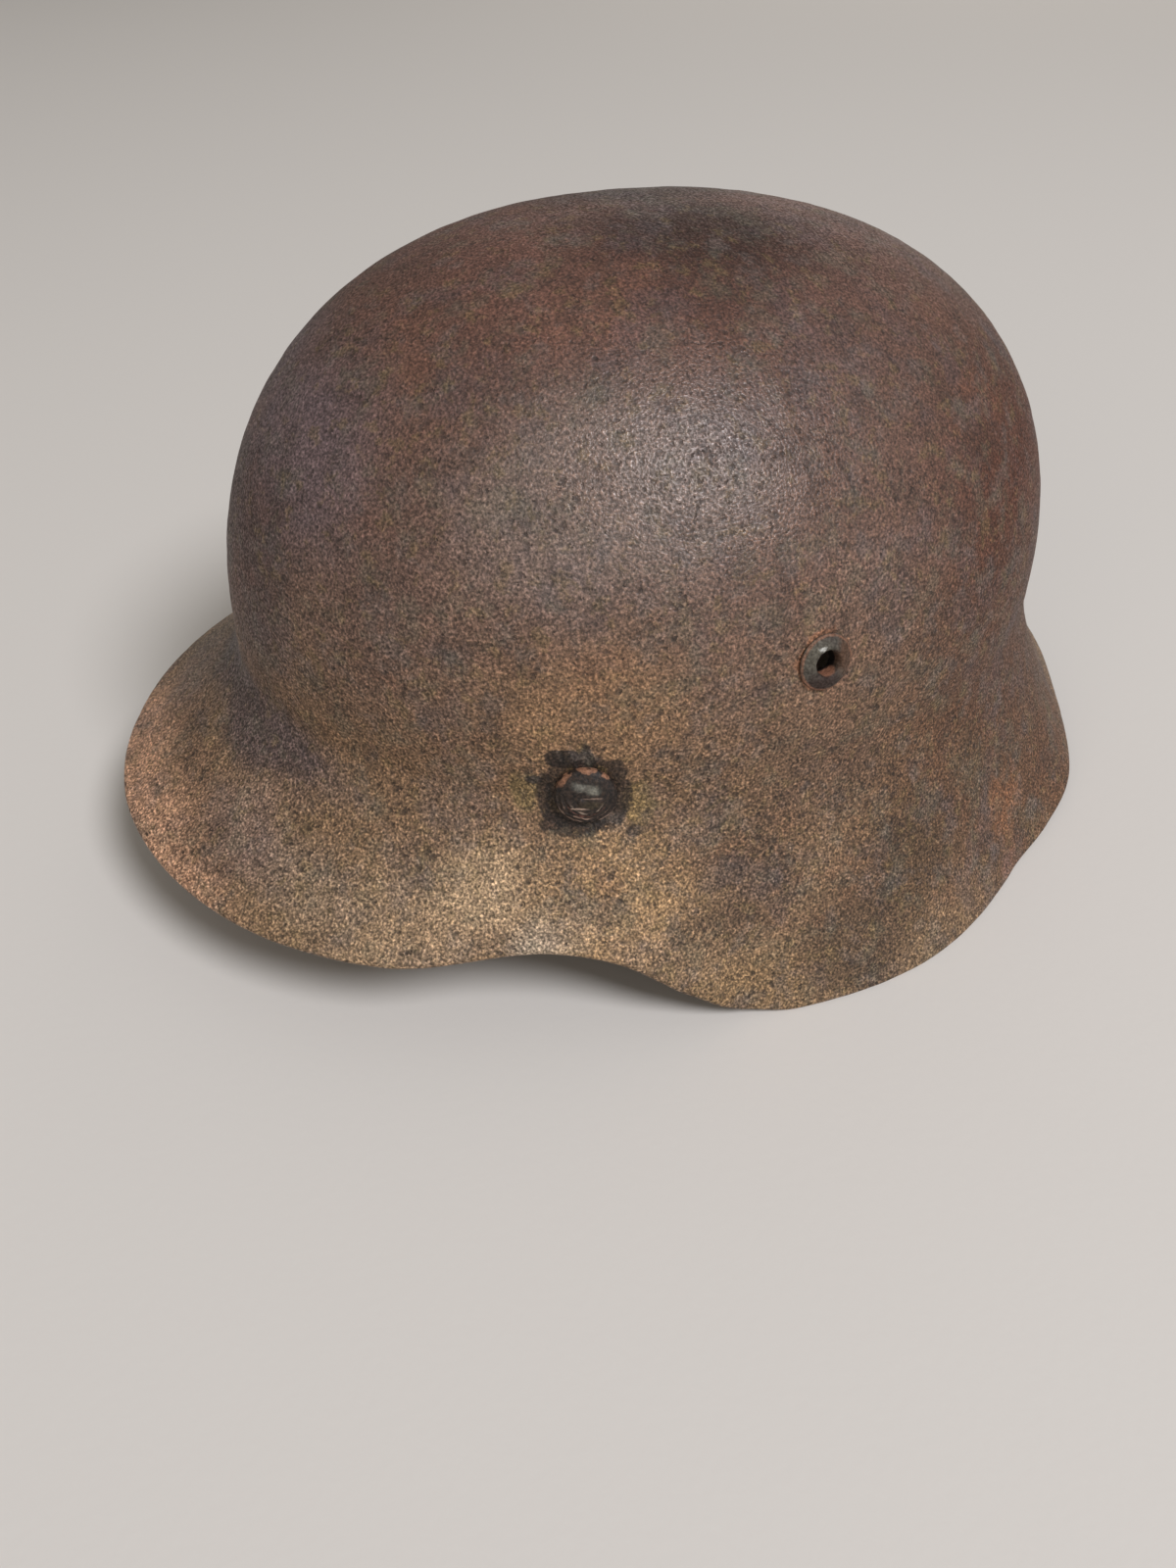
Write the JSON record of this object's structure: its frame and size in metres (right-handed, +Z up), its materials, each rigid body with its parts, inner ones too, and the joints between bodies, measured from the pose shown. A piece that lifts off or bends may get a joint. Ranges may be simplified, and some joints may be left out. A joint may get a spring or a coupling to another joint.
{
  "type": "steel combat helmet shell, rusted",
  "caption": "Rust-covered pressed steel helmet: domed crown, flared visor, side skirts and neck guard with a rolled hem, air bushings and domed liner pins.",
  "frame": {"origin": "on the floor under the middle of the helmet's length and width", "axes": "+Z up, the visor faces -Y, +X is the wearer's left side"},
  "size_m": [0.2206, 0.283, 0.155],
  "materials": {
    "rusted_sheet_steel": "finely pitted brown rust, darker on the crown and ochre along the visor and hem",
    "worn_bushing_steel": "bare blue-grey steel, dulled, with rust round its edge",
    "corroded_pin_steel": "dark layered corrosion with a worn grey crown and an orange edge"
  },
  "bodies": {
    "root": {"helmet_shell": "rusted_sheet_steel", "vent_bushing_left": "worn_bushing_steel", "vent_bushing_right": "worn_bushing_steel", "liner_pin_left": "corroded_pin_steel", "liner_pin_right": "corroded_pin_steel", "liner_pin_rear": "corroded_pin_steel"}
  },
  "joints": []
}
